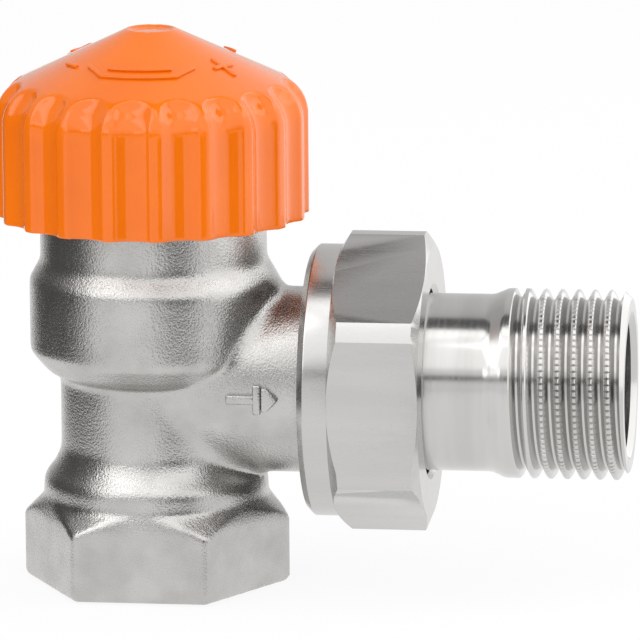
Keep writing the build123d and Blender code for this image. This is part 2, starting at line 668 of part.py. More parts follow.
def tailpiece():
    nose_rise = TAIL_NOSE_LENGTH * CONE_SEAT_WIDTH / CONE_SEAT_DEPTH
    nose_foot = TAIL_NOSE_TIP_RADIUS + nose_rise - RUNNING_GAP
    nose_tip = TAIL_COLLAR_START - TAIL_NOSE_LENGTH
    return OUTLET_PLANE * turned(
        (TAIL_BORE_RADIUS, nose_tip),
        (TAIL_NOSE_TIP_RADIUS - RUNNING_GAP, nose_tip),
        (nose_foot, TAIL_COLLAR_START),
        (TAIL_COLLAR_RADIUS, TAIL_COLLAR_START),
        (TAIL_COLLAR_RADIUS, TAIL_COLLAR_END),
        (TAIL_NECK_RADIUS, TAIL_COLLAR_END),
        (TAIL_NECK_RADIUS, TAIL_THREAD_START - TAIL_RUNOUT_LENGTH),
        (TAIL_THREAD_RADIUS, TAIL_THREAD_START),
        (TAIL_THREAD_RADIUS, OUTLET_REACH - TAIL_END_CHAMFER),
        (TAIL_THREAD_RADIUS - TAIL_END_CHAMFER, OUTLET_REACH),
        (TAIL_BORE_RADIUS, OUTLET_REACH),
    )


def cap_cone(radius):
    """Height of the cap's cone at a radius."""
    return CAP_APEX - radius * CAP_TAN


def flute_cutter():
    """A ball-ended groove cutter that runs up the skirt and bends over the shoulder."""
    bend_radius = CAP_RADIUS - CAP_SHOULDER_ROUND
    half_turn = math.radians(90 - CAP_SLOPE) / 2
    bend_height = cap_cone(CAP_RADIUS) - CAP_SHOULDER_ROUND * math.tan(half_turn)
    track = CAP_RADIUS - FLUTE_DEPTH + FLUTE_RADIUS
    upright = Pos(track, 0, CAP_RIM_HEIGHT - 1) * Cylinder(
        FLUTE_RADIUS, bend_height - CAP_RIM_HEIGHT + 1, align=(Align.CENTER, Align.CENTER, Align.MIN)
    )
    hinge = Axis((bend_radius, 0, bend_height), (0, -1, 0))
    bend = revolve(Pos(track, 0, bend_height) * Circle(FLUTE_RADIUS), hinge, FLUTE_BEND)
    angle = math.radians(FLUTE_BEND)
    arm = track - bend_radius
    tip = Pos(bend_radius + arm * math.cos(angle), 0, bend_height + arm * math.sin(angle))
    return upright + bend + tip * Sphere(FLUTE_RADIUS)


def protective_cap():
    cap = turned(
        (0, CAP_RIM_HEIGHT),
        (CAP_RADIUS, CAP_RIM_HEIGHT),
        (CAP_RADIUS, cap_cone(CAP_RADIUS), CAP_SHOULDER_ROUND),
        (CAP_DISC_RADIUS, cap_cone(CAP_DISC_RADIUS)),
        (CAP_DISC_RADIUS - CAP_DISC_DEPTH, cap_cone(CAP_DISC_RADIUS) - CAP_DISC_DEPTH),
        (0, cap_cone(CAP_DISC_RADIUS) - CAP_DISC_DEPTH),
    )
    bite = cap & flute_cutter()
    cap -= [Rot(0, 0, FLUTE_PHASE + step * 360 / FLUTES) * bite for step in range(FLUTES)]
    roof_drop = CAP_ROOF / math.cos(math.radians(CAP_SLOPE))
    boss_tip = PIN_TOP + CONTACT_GAP
    mouth_top = CAP_RIM_HEIGHT + CAP_MOUTH_LENGTH
    mouth_radius = CAP_BORE_RADIUS + CAP_MOUTH_STEP
    hollow = turned(
        (0, CAP_RIM_HEIGHT - 1),
        (mouth_radius, CAP_RIM_HEIGHT - 1),
        (mouth_radius, mouth_top),
        (CAP_BORE_RADIUS, mouth_top + CAP_MOUTH_STEP),
        (CAP_BORE_RADIUS, cap_cone(CAP_BORE_RADIUS) - roof_drop, CAP_INNER_ROUND),
        (CAP_BOSS_RADIUS, cap_cone(CAP_BOSS_RADIUS) - roof_drop),
        (CAP_BOSS_RADIUS, boss_tip),
        (0, boss_tip),
    )
    return cap - hollow


PIECES = {
    "valve_body": valve_body,
    "insert_housing": insert_housing,
    "housing_o_ring": housing_o_ring,
    "setting_stem": setting_stem,
    "stem_o_ring": stem_o_ring,
    "stem_clip": stem_clip,
    "throttle_sleeve": throttle_sleeve,
    "setting_dial": setting_dial,
    "gland_nut": gland_nut,
    "gland_o_ring_lower": lambda: gland_o_ring(0),
    "gland_o_ring_upper": lambda: gland_o_ring(1),
    "return_spring": return_spring,
    "pressure_pin": pressure_pin,
    "spindle": spindle,
    "spindle_clip": spindle_clip,
    "spring_washer": spring_washer,
    "disc_carrier": disc_carrier,
    "disc_seal": disc_seal,
    "disc_nut": disc_nut,
    "protective_cap": protective_cap,
    "tailpiece": tailpiece,
    "union_nut": union_nut,
}

os.makedirs("parts", exist_ok=True)
for name, make in PIECES.items():
    export_step(make(), f"parts/{name}.step")
    print("wrote", name)
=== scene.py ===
# %% [markdown]
# # An angle radiator valve, dressed in Blender
#
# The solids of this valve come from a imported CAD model. It is loaded here as a fixed frame in metres:
# the inlet face is at the origin, +Z runs up to the cap and +X runs along the outlet. Each piece that we
# model stands where its CAD solid stands, so nothing has to be fitted by eye.

# %% Load the frame
import json
import math

import bmesh
import bpy
from mathutils import Matrix, Vector


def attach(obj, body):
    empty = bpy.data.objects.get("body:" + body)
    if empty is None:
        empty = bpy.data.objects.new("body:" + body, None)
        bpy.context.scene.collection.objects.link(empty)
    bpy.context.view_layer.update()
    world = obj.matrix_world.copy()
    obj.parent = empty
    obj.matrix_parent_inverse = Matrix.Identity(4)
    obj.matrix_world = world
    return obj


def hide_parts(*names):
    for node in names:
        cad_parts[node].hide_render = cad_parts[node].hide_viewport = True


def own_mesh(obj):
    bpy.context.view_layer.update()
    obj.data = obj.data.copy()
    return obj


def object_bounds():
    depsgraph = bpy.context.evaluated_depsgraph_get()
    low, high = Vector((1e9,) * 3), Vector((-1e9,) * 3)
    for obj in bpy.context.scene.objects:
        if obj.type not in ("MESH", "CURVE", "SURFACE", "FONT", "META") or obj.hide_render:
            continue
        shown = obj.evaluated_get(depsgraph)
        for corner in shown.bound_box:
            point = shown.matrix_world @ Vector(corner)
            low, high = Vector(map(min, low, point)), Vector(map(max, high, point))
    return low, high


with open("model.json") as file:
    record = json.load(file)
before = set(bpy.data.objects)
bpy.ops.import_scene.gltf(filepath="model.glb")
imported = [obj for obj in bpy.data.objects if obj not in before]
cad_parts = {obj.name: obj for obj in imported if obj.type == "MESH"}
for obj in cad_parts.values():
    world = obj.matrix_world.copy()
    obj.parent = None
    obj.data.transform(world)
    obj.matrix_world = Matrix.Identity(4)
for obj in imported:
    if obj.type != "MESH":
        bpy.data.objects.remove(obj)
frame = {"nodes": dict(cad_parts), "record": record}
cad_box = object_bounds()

MM = 0.001
OUTLET_HEIGHT = 23.0
print("CAD box in mm:", [[round(value / MM, 2) for value in corner] for corner in cad_box])

# %% [markdown]
# ## The camera
#
# A product photograph of a small fitting is taken from some distance with a long lens, so that its parallel
# edges stay nearly parallel. Here the camera stands a little to the right and above. It was placed by
# comparing known points of the valve, such as the hexagon's corners and the end of the outlet, with the picture.

# %% Place the camera
CAMERA_AZIMUTH = 7.5
CAMERA_ELEVATION = 11.6
CAMERA_ROLL = -0.45
CAMERA_DISTANCE = 830.0
CAMERA_LENS = 422.3
CAMERA_TARGET = (18.50, 0.0, 29.68)
CAMERA_NEAR = 0.05

scene = bpy.context.scene
scene.view_settings.view_transform = "Standard"
azimuth, elevation, roll = (math.radians(a) for a in (CAMERA_AZIMUTH, CAMERA_ELEVATION, CAMERA_ROLL))
back = Vector((
    math.sin(azimuth) * math.cos(elevation),
    -math.cos(azimuth) * math.cos(elevation),
    math.sin(elevation),
))
level = Vector((math.cos(azimuth), math.sin(azimuth), 0))
above = back.cross(level)
right = level * math.cos(roll) + above * math.sin(roll)
up = above * math.cos(roll) - level * math.sin(roll)
bpy.ops.object.select_all(action="DESELECT")
bpy.ops.object.camera_add()
camera = bpy.context.object
camera.matrix_world = Matrix.Translation((Vector(CAMERA_TARGET) + back * CAMERA_DISTANCE) * MM) @ Matrix(
    (right, up, back)
).transposed().to_4x4()
camera.data.lens = CAMERA_LENS
camera.data.clip_start = CAMERA_NEAR
scene.camera = camera
print("camera at", [round(value, 3) for value in camera.location])

# %% [markdown]
# ## Studio: a pale floor, soft boxes and dark cards
#
# Polished and plated metal shows little but its surroundings. A photographer lights it with large soft boxes
# and stands a few dark and bright cards round it, so that a round part shows stripes. The lamps and the world
# give an even soft light. The cards here are glowing and dark sheets that show in reflections only, so they are
# painted reflections: bright and dark stripes on the metal and highlights on the cap. They cast no shadow, give no
# diffuse light, and the camera looks through them, also through the dark line that stands in its way. The floor
# looks white to the camera and in the metal alike, and it still takes a soft shadow.

# %% World
def link(tree, source, target):
    tree.links.new(source, target)


def add_node(tree, kind, **settings):
    """A node of that kind with its settings."""
    node = tree.nodes.new(kind)
    for key, value in settings.items():
        setattr(node, key, value)
    return node


def math_node(tree, operation, first, second=None):
    """A Math node on one or two sources; each is a socket or a number."""
    node = tree.nodes.new("ShaderNodeMath")
    node.operation = operation
    for socket, source in zip(node.inputs, (first, second)):
        if isinstance(source, (int, float)):
            socket.default_value = source
        elif source is not None:
            link(tree, source, socket)
    return node.outputs[0]


def ramp_node(tree, source, stops):
    """A Color Ramp through (place, grey or colour) stops."""
    node = tree.nodes.new("ShaderNodeValToRGB")
    link(tree, source, node.inputs["Fac"])
    elements = node.color_ramp.elements
    while len(elements) < len(stops):
        elements.new(0.5)
    for element, (place, colour) in zip(elements, stops):
        element.position = place
        shade = colour if isinstance(colour, tuple) else (colour, colour, colour)
        element.color = (*shade, 1)
    return node.outputs["Color"]


# Brightness of the surroundings by compass direction: 0 is straight behind, 0.5 is the camera's side
COMPASS = (
    (0.00, 0.75),
    (0.12, 0.50),
    (0.30, 0.45),
    (0.34, 0.95),
    (0.60, 0.95),
    (0.66, 0.80),
    (0.72, 1.00),
    (0.86, 1.00),
    (0.93, 0.80),
    (1.00, 0.75),
)
# Brightness by height: 0 is the nadir, 0.5 the horizon and 1 the zenith
CEILING = (
    (0.00, 0.90),
    (0.50, 0.90),
    (0.54, 1.00),
    (0.80, 1.00),
    (1.00, 0.85),
)

world = bpy.data.worlds.new("studio")
scene.world = world
world.use_nodes = True
sky = world.node_tree
sky.nodes.clear()
direction = add_node(sky, "ShaderNodeTexCoord")
split = add_node(sky, "ShaderNodeSeparateXYZ")
link(sky, direction.outputs["Generated"], split.inputs[0])
away = math_node(sky, "MULTIPLY", split.outputs["Y"], -1.0)
compass = math_node(sky, "ARCTAN2", split.outputs["X"], away)
turn = math_node(sky, "MULTIPLY_ADD", compass, 0.5 / math.pi)
turn.node.inputs[2].default_value = 0.5
height = math_node(sky, "MULTIPLY_ADD", math_node(sky, "ARCSINE", split.outputs["Z"]), 1 / math.pi)
height.node.inputs[2].default_value = 0.5
around = ramp_node(sky, turn, COMPASS)
upward = ramp_node(sky, height, CEILING)
shade = add_node(sky, "ShaderNodeMixRGB", blend_type="MULTIPLY")
shade.inputs["Fac"].default_value = 1.0
link(sky, around, shade.inputs["Color1"])
link(sky, upward, shade.inputs["Color2"])
backdrop = add_node(sky, "ShaderNodeBackground")
link(sky, shade.outputs["Color"], backdrop.inputs["Color"])
sky_out = add_node(sky, "ShaderNodeOutputWorld")
link(sky, backdrop.outputs["Background"], sky_out.inputs["Surface"])
print("world:", len(COMPASS), "stops round the horizon")

# %% Floor
FLOOR_SIZE = 6.0
FLOOR_WHITE = 0.90  # share of plain white in what the camera and reflections see
FLOOR_DROP = 0.0002
PAPER = (0.9, 0.9, 0.9, 1)

bpy.ops.object.select_all(action="DESELECT")
bpy.ops.mesh.primitive_plane_add(size=FLOOR_SIZE, location=(0, 0, -FLOOR_DROP))
floor = bpy.context.object
floor.name = "floor"
paper = bpy.data.materials.new("studio_paper")
paper.use_nodes = True
tree = paper.node_tree
tree.nodes.clear()
matt = add_node(tree, "ShaderNodeBsdfDiffuse")
matt.inputs["Color"].default_value = PAPER
glow = add_node(tree, "ShaderNodeEmission")
glow.inputs["Color"].default_value = (1, 1, 1, 1)
path = add_node(tree, "ShaderNodeLightPath")
viewer = math_node(tree, "MAXIMUM", path.outputs["Is Camera Ray"], path.outputs["Is Glossy Ray"])
viewer = math_node(tree, "MAXIMUM", viewer, path.outputs["Is Transmission Ray"])
share = math_node(tree, "MULTIPLY", viewer, FLOOR_WHITE)
both = add_node(tree, "ShaderNodeMixShader")
link(tree, share, both.inputs["Fac"])
link(tree, matt.outputs[0], both.inputs[1])
link(tree, glow.outputs[0], both.inputs[2])
paper_out = add_node(tree, "ShaderNodeOutputMaterial")
link(tree, both.outputs[0], paper_out.inputs["Surface"])
floor.data.materials.append(paper)
print("floor", FLOOR_SIZE, "m square")

# %% Cards
CARD_DISTANCE = 75.0


def show_in_reflections_only(card, shade):
    """A card that glows in one plain shade and that only reflections see: a painted reflection, bright or dark."""
    card.visible_camera = False
    card.visible_diffuse = False
    card.visible_shadow = False
    card.visible_transmission = False
    material = bpy.data.materials.new(card.name)
    material.use_nodes = True
    tree = material.node_tree
    tree.nodes.clear()
    tone = add_node(tree, "ShaderNodeEmission")
    tone.inputs["Color"].default_value = (shade, shade, shade, 1)
    out = add_node(tree, "ShaderNodeOutputMaterial")
    link(tree, tone.outputs[0], out.inputs["Surface"])
    card.data.materials.append(material)
    print("card", card.name, shade)


def standing_card(name, compass_angle, width, bottom, top, shade, distance=CARD_DISTANCE):
    """An upright card that faces the valve's axis; the compass angle is 0 on the camera's side."""
    a = math.radians(compass_angle)
    bpy.ops.object.select_all(action="DESELECT")
    bpy.ops.mesh.primitive_plane_add(
        size=MM, rotation=(math.pi / 2, 0, a),
        location=(math.sin(a) * distance * MM, -math.cos(a) * distance * MM, (bottom + top) / 2 * MM),
    )
    card = bpy.context.object
    card.name = name
    card.scale = (width, top - bottom, 1)
    show_in_reflections_only(card, shade)


def level_card(name, low, high, shade, height):
    """A level card between two (x, y) corners at a height, in mm."""
    bpy.ops.object.select_all(action="DESELECT")
    bpy.ops.mesh.primitive_plane_add(
        size=MM, location=((low[0] + high[0]) / 2 * MM, (low[1] + high[1]) / 2 * MM, height * MM))
    card = bpy.context.object
    card.name = name
    card.scale = (high[0] - low[0], high[1] - low[1], 1)
    show_in_reflections_only(card, shade)


# Angle, width, bottom, top and shade; a shade of 1 is white
# Each card paints a bright or dark reflection on the metal and the cap; the bright ones glow though they are no lamps
standing_card("left_card", -92, 120, 0, 75, 0.10)
standing_card("front_right_card", 31, 83, 0, 60, 0.05, distance=150)
standing_card("right_front_card", 72, 66, 24, 110, 1.5, distance=105)
standing_card("right_card", 100, 62, 22, 110, 1.6, distance=104)
standing_card("right_back_card", 128, 50, 22, 110, 1.6, distance=99)
standing_card("bright_sheet", 0, 900, 185, 850, 1.40, distance=300)
standing_card("dark_line", 0, 900, 94, 130, 0.10, distance=300)
level_card("dark_strip_above", (-80, -26), (140, 34), 0.10, height=200)

# %% Soft boxes
# Name, compass angle from the camera side, height angle, distance, width, height and power
SOFT_BOXES = (
    ("left_box", -42, 40, 0.50, 0.42, 0.45, 0.75),
    ("right_box", 100, 34, 0.55, 0.50, 0.50, 1.1),
    ("top_box", -20, 84, 0.60, 0.45, 0.30, 0.4),
)
aim = (cad_box[0] + cad_box[1]) / 2
for name, compass_angle, height_angle, distance, width, tall, power in SOFT_BOXES:
    a, e = math.radians(compass_angle), math.radians(height_angle)
    toward = Vector((math.sin(a) * math.cos(e), -math.cos(a) * math.cos(e), math.sin(e)))
    bpy.ops.object.light_add(type="AREA", location=aim + toward * distance)
    box = bpy.context.object
    box.name = name
    box.rotation_euler = toward.to_track_quat("Z", "Y").to_euler()
    box.data.shape = "RECTANGLE"
    box.data.size, box.data.size_y = width, tall
    box.data.energy = power
    print("soft box", name, power, "W")

# %% [markdown]
# ## Tools of the workshop
#
# A valve is cast and then turned, milled and threaded. The helpers below follow those trades. The lathe draws
# half an outline point by point with Extrude and turns it with Spin. A cutter is a solid that a Boolean modifier
# takes away. A thread cutter is a small outline that a Screw modifier winds into a coil.

# %% Selecting and applying
def let_go():
    """Leave edit mode and deselect everything."""
    if bpy.context.object and bpy.context.object.mode != "OBJECT":
        bpy.ops.object.mode_set(mode="OBJECT")
    bpy.ops.object.select_all(action="DESELECT")


def take(piece):
    """Select one piece alone and make it active."""
    let_go()
    piece.select_set(True)
    bpy.context.view_layer.objects.active = piece


def pick_points(piece, wanted):
    """In edit mode, select the points of a piece that a test wants."""
    bpy.ops.mesh.select_mode(type="VERT")
    bpy.ops.mesh.select_all(action="DESELECT")
    mesh = bmesh.from_edit_mesh(piece.data)
    for vertex in mesh.verts:
        vertex.select = wanted(vertex.co)
    mesh.select_flush(True)
    bmesh.update_edit_mesh(piece.data)


def apply(piece, kind, **settings):
    """Put a modifier on a piece and apply it."""
    take(piece)
    modifier = piece.modifiers.new(kind.lower(), kind)
    for key, value in settings.items():
        setattr(modifier, key, value)
    bpy.ops.object.modifier_apply(modifier=modifier.name)


def combine(piece, tool, operation="DIFFERENCE"):
    """Cut a tool out of a piece, or weld it on, and put the tool away."""
    apply(piece, "BOOLEAN", operation=operation, solver="MANIFOLD", object=tool)
    bpy.data.objects.remove(tool)


def lay_on_outlet(piece):
    """Turn a piece that was made on the Z axis to lie on the outlet's axis."""
    take(piece)
    piece.rotation_euler = (0, math.pi / 2, 0)
    piece.location = (0, 0, OUTLET_HEIGHT * MM)
    bpy.ops.object.transform_apply(location=True, rotation=True, scale=True)


def finish_shading(piece, angle=30):
    take(piece)
    bpy.ops.object.shade_smooth_by_angle(angle=math.radians(angle))


def report(piece):
    print(piece.name, len(piece.data.vertices), "points", len(piece.data.polygons), "faces")


# %% The lathe
LATHE_STEPS = 128
ROUND_SEGMENTS = 6
SAME_POINT = 1e-6
MERGE = 1e-7


def draw_outline(name, corners, closed):
    """Draw a chain of (radius, height) corners in the XZ plane, in mm; a third value rounds that corner."""
    let_go()
    bpy.ops.mesh.primitive_plane_add(size=MM)
    piece = bpy.context.object
    piece.name = name
    bpy.ops.object.mode_set(mode="EDIT")
    bpy.ops.mesh.select_all(action="SELECT")
    bpy.ops.mesh.merge(type="CENTER")
    places = [Vector((corner[0], 0, corner[1])) * MM for corner in corners]
    bpy.ops.transform.translate(value=places[0])
    for before, after in zip(places, places[1:]):
        bpy.ops.mesh.extrude_region_move(TRANSFORM_OT_translate={"value": after - before})
    if closed:
        pick_points(piece, lambda co: min((co - places[0]).length, (co - places[-1]).length) < SAME_POINT)
        bpy.ops.mesh.edge_face_add()
    count = len(corners)
    for index, corner in enumerate(corners):
        if len(corner) < 3:
            continue
        here = places[index]
        inward = (places[index - 1] - here).normalized()
        outward = (places[(index + 1) % count] - here).normalized()
        setback = corner[2] * MM / math.tan(inward.angle(outward) / 2)
        pick_points(piece, lambda co: (co - here).length < SAME_POINT)
        bpy.ops.mesh.bevel(offset=setback, affect="VERTICES", segments=ROUND_SEGMENTS)
    return piece


def turn_on_lathe(name, corners, closed=False, steps=LATHE_STEPS):
    """Spin an outline round the Z axis into a closed solid."""
    piece = draw_outline(name, corners, closed)
    bpy.ops.mesh.select_all(action="SELECT")
    bpy.ops.mesh.spin(steps=steps, angle=2 * math.pi, center=(0, 0, 0), axis=(0, 0, 1))
    bpy.ops.mesh.select_all(action="SELECT")
    bpy.ops.mesh.remove_doubles(threshold=MERGE)
    bpy.ops.mesh.normals_make_consistent(inside=False)
    bpy.ops.object.mode_set(mode="OBJECT")
    return piece


# %% The thread cutter
PIPE_PITCH = 1.814
PIPE_DEPTH = 1.16
ROOT_HALF = 0.12
COIL_STEPS = 96
# One flank of the groove: (depth under the surface, distance from the edge of the pitch)
FLANK = ((-0.3, 0.06), (-0.02, 0.09), (0.08, 0.21), (0.24, 0.34))


def thread_cutter(name, radius, side, start, turns, fade=0.0):
    """A coil that cuts a pipe thread; side is -1 into a bar and +1 into a bore's wall.

    The flanks flare near the surface, which leaves rounded crests. Over its first turns, as many as fade
    says, the coil comes in from outside the metal, so that the groove runs out there.
    """
    half = PIPE_PITCH / 2
    deep = radius + side * PIPE_DEPTH
    corners = [(radius + side * depth, start - half + inset) for depth, inset in FLANK]
    corners += [(deep, start - ROOT_HALF), (deep, start + ROOT_HALF)]
    corners += [(radius + side * depth, start + half - inset) for depth, inset in reversed(FLANK)]
    cutter = draw_outline(name, corners, closed=True)
    bpy.ops.object.mode_set(mode="OBJECT")
    apply(cutter, "SCREW", angle=2 * math.pi, screw_offset=PIPE_PITCH * MM, iterations=turns,
          steps=COIL_STEPS, render_steps=COIL_STEPS, use_smooth_shade=False)
    bpy.ops.object.mode_set(mode="EDIT")
    bpy.ops.mesh.select_all(action="SELECT")
    bpy.ops.mesh.remove_doubles(threshold=MERGE)
    bpy.ops.mesh.select_all(action="DESELECT")
    bpy.ops.mesh.select_non_manifold()
    bpy.ops.mesh.fill_holes(sides=0)
    bpy.ops.mesh.select_all(action="SELECT")
    bpy.ops.mesh.normals_make_consistent(inside=False)
    bpy.ops.object.mode_set(mode="OBJECT")
    if fade:
        fading = fade * COIL_STEPS
        for vertex in cutter.data.vertices:
            ring = vertex.index // len(corners)
            gone = 1 - ring / fading if ring < fading else 0
            spread = 1 - side * gone * (PIPE_DEPTH + 0.1) / radius
            vertex.co.x *= spread
            vertex.co.y *= spread
        print(name, "fades over", fade, "of", turns, "turns")
    return cutter


# %% [markdown]
# ## Body: cast first, then machined
#
# The body is a brass casting, shot-blasted and nickel-plated, so its edges and valleys are soft. The mouths and threads
# are cut into it afterwards and have crisp edges. We work in the same order. A copy of the CAD solid is merged, its
# hollows are plugged, and Remesh and Smooth turn it into a soft skin of small even faces. The blends could
# also be bevelled one by one, but they run into each other where band, neck and branch meet.

# %% Soft copy of a solid
CAD_MERGE = 2e-6


def soft_copy(name, node, plug, voxel, rounds):
    """A copy of a CAD node with its hollow plugged, remeshed to even faces and smoothed."""
    piece = bpy.data.objects.new(name, frame["nodes"][node].data.copy())
    scene.collection.objects.link(piece)
    piece.data.materials.clear()
    take(piece)
    bpy.ops.object.mode_set(mode="EDIT")
    bpy.ops.mesh.select_all(action="SELECT")
    bpy.ops.mesh.remove_doubles(threshold=CAD_MERGE)
    bpy.ops.object.mode_set(mode="OBJECT")
    for filler in plug:
        combine(piece, filler, "UNION")
    apply(piece, "REMESH", mode="VOXEL", voxel_size=voxel * MM)
    apply(piece, "SMOOTH", factor=0.5, iterations=rounds)
    return piece


def soften(piece, wanted, rounds):
    """Smooth only the points that a test wants."""
    group = piece.vertex_groups.new(name="soft")
    group.add([vertex.index for vertex in piece.data.vertices if wanted(vertex.co / MM)], 1.0, "REPLACE")
    apply(piece, "SMOOTH", factor=0.5, iterations=rounds, vertex_group="soft")
    piece.vertex_groups.clear()


# %% Cast the body
CAST_GRID = 0.31
CAST_ROUNDS = 5
BLEND_ROUNDS = 12
BLEND_BOTTOM, BLEND_TOP, BLEND_RIGHT = 8.6, 38, 18.4

inlet_plug = turn_on_lathe("inlet_plug", (
    (0, 0.0), (10.62, 0.0), (9.6, 1.4), (9.6, 14.5), (5.6, 14.5), (5.6, 17.0), (0, 17.0),
))
chamber_plug = turn_on_lathe("chamber_plug", (
    (0, 15.0), (8.9, 15.0), (8.9, 29.0), (10.0, 29.0), (10.0, 35.0), (11.1, 35.0), (11.1, 50.5), (0, 50.5),
))
outlet_plug = turn_on_lathe("outlet_plug", (
    (0, 0), (7.3, 0), (7.3, 24.2), (8.9, 24.2), (10.4, 26.5), (0, 26.5),
))
lay_on_outlet(outlet_plug)
plugs = (inlet_plug, chamber_plug, outlet_plug)
casting = soft_copy("valve_casting", "valve_body", plugs, CAST_GRID, CAST_ROUNDS)
soften(casting, lambda co: BLEND_BOTTOM < co.z < BLEND_TOP and co.x < BLEND_RIGHT, BLEND_ROUNDS)
report(casting)

# %% Machine the mouths and bores
INLET_RADIUS = 9.3155
inlet_cut = turn_on_lathe("inlet_cut", (
    (0, -1), (11.6155, -1), (INLET_RADIUS, 1.3), (INLET_RADIUS, 13.0), (5.2, 14.0), (5.2, 18.0), (0, 18.0),
))
combine(casting, inlet_cut)
chamber_cut = turn_on_lathe("chamber_cut", (
    (0, 17.0), (5.9, 17.0), (6.4, 15.6), (8.6, 15.6), (8.6, 29.3), (9.7, 29.3), (9.7, 35.3), (10.8, 35.3),
    (10.8, 52.0), (0, 52.0),
))
combine(casting, chamber_cut)
outlet_cut = turn_on_lathe("outlet_cut", (
    (0, 0), (7.0, 0), (7.0, 24.6), (8.6, 24.6), (10.2, 26.5), (10.2, 28), (0, 28),
))
lay_on_outlet(outlet_cut)
combine(casting, outlet_cut)
report(casting)

# %% Turn the spigot and cut both pipe threads
SPIGOT_RADIUS = 13.1
spigot = turn_on_lathe("spigot", (
    (8.8, 19.2), (12.2, 18.9), (SPIGOT_RADIUS, 19.8), (SPIGOT_RADIUS, 25.6), (12.2, 26.5), (10.2, 26.5), (8.8, 24.9),
), closed=True)
combine(spigot, thread_cutter("spigot_cutter", SPIGOT_RADIUS, -1, 20.4, 4, fade=0.5))
lay_on_outlet(spigot)
combine(casting, spigot, "UNION")
combine(casting, thread_cutter("inlet_cutter", INLET_RADIUS, 1, -1.0, 7))
finish_shading(casting, 35)
report(casting)

# %% [markdown]
# ## Flow arrow on the branch
#
# The mould leaves a raised arrow that shows which way the water runs. Its flat parts are cut from small grids,
# pressed on the branch with Shrinkwrap and thickened with Solidify, so that the arrow follows the round surface.

# %% Raised signs
PLATE_Y = -14
SINK = 0.08


def flat_plate(name, width, tall, centre, cuts):
    """A gridded plate in the XZ plane, seen from -Y, at centre (x, z) in mm."""
    let_go()
    bpy.ops.mesh.primitive_grid_add(
        x_subdivisions=cuts[0], y_subdivisions=cuts[1], size=MM, rotation=(math.pi / 2, 0, 0),
        location=(centre[0] * MM, PLATE_Y * MM, centre[1] * MM),
    )
    plate = bpy.context.object
    plate.name = name
    plate.scale = (width, tall, 1)
    bpy.ops.object.transform_apply(location=True, rotation=True, scale=True)
    return plate


def trim(plate, point, normal):
    """Cut away the side of a plate that a normal points to."""
    take(plate)
    bpy.ops.object.mode_set(mode="EDIT")
    bpy.ops.mesh.select_all(action="SELECT")
    bpy.ops.mesh.bisect(plane_co=Vector(point) * MM, plane_no=normal, clear_outer=True)
    bpy.ops.object.mode_set(mode="OBJECT")


def join_pieces(name, parts):
    """Join parts into the first of them."""
    let_go()
    for part in parts:
        part.select_set(True)
    bpy.context.view_layer.objects.active = parts[0]
    bpy.ops.object.join()
    parts[0].name = name
    return parts[0]


def raise_on(sign, ground, axis, height, edge=0.12):
    """Press a flat sign on the ground along one axis and give it a height in mm with soft edges."""
    settings = {"use_project_" + axis: True}
    apply(sign, "SHRINKWRAP", target=ground, wrap_method="PROJECT", use_negative_direction=True,
          use_positive_direction=True, offset=-SINK * MM, **settings)
    apply(sign, "SOLIDIFY", thickness=(height + SINK) * MM, offset=1)
    apply(sign, "BEVEL", width=edge * MM, segments=3, limit_method="ANGLE", angle_limit=math.radians(50))
    finish_shading(sign, 40)


ARROW_Z = 22.8
ARROW_HEIGHT = 0.7
shaft = flat_plate("arrow_shaft", 3.2, 1.0, (11.0, ARROW_Z), (6, 2))
crossbar = flat_plate("arrow_bar", 0.9, 3.2, (12.8, ARROW_Z), (2, 6))
head = flat_plate("arrow_head", 1.9, 2.6, (14.25, ARROW_Z), (2, 4))
trim(head, (15.2, 0, ARROW_Z), (1.2, 0, 1.9))
trim(head, (15.2, 0, ARROW_Z), (1.2, 0, -1.9))
flow_arrow = join_pieces("flow_arrow", [shaft, crossbar, head])
raise_on(flow_arrow, casting, "y", ARROW_HEIGHT, edge=0.3)
report(flow_arrow)

# %% [markdown]
# ## Union nut
#
# The nut is turned from hexagon bar: a six-sided prism is kept only inside a turned shape with sloped ends, which gives
# the curved edges that every turned nut has. The collar is turned at its back, and the bore is cut last. A small Bevel
# takes the sharpness off the edges.

# %% Make the nut
NUT_FLATS = 30.0
NUT_START, NUT_HEX_START, NUT_END = 17.7, 21.0, 31.0
NUT_CORNER = NUT_FLATS / math.sqrt(3)

let_go()
bpy.ops.mesh.primitive_cylinder_add(
    vertices=6, radius=NUT_CORNER * MM, depth=(NUT_END - NUT_HEX_START + 2) * MM,
    location=(0, 0, (NUT_END + NUT_HEX_START) / 2 * MM),
)
nut = bpy.context.object
nut.name = "nut_hexagon"
nut.rotation_euler = (0, 0, math.pi / 2)
bpy.ops.object.transform_apply(location=True, rotation=True, scale=True)
blank = turn_on_lathe("nut_blank", (
    (0, NUT_HEX_START), (15.0, NUT_HEX_START), (16.70, NUT_HEX_START + 1.1), (16.70, NUT_END - 0.7),
    (15.0, NUT_END), (0, NUT_END),
), steps=192)
combine(nut, blank, "INTERSECT")
collar = turn_on_lathe("nut_collar", (
    (0, NUT_START), (14.35, NUT_START), (15.05, NUT_START + 0.7, 0.3), (15.05, NUT_HEX_START + 0.05, 0.04),
    (0, NUT_HEX_START + 0.05),
), steps=192)
combine(nut, collar, "UNION")
nut_bore = turn_on_lathe("nut_bore", (
    (0, 16.5), (13.25, 16.5), (13.25, 28.8), (10.35, 28.8), (10.35, 30.5), (11.85, 32.0), (0, 32.0),
), steps=192)
combine(nut, nut_bore)
lay_on_outlet(nut)
nut.name = "union_nut_piece"
apply(nut, "BEVEL", width=0.14 * MM, segments=3, limit_method="ANGLE", angle_limit=math.radians(20))
finish_shading(nut, 30)
report(nut)

# %% [markdown]
# ## Tailpiece with its pipe thread
#
# The tailpiece is turned in one piece: the cone that seals in the body, the collar that the nut pulls on, a plain
# neck and a pipe thread. Fitters wind sealing yarn round such a thread, so its crests are notched to hold the yarn.
# The thread is a real coil cut, and the notches are one wedge, copied round with Spin.

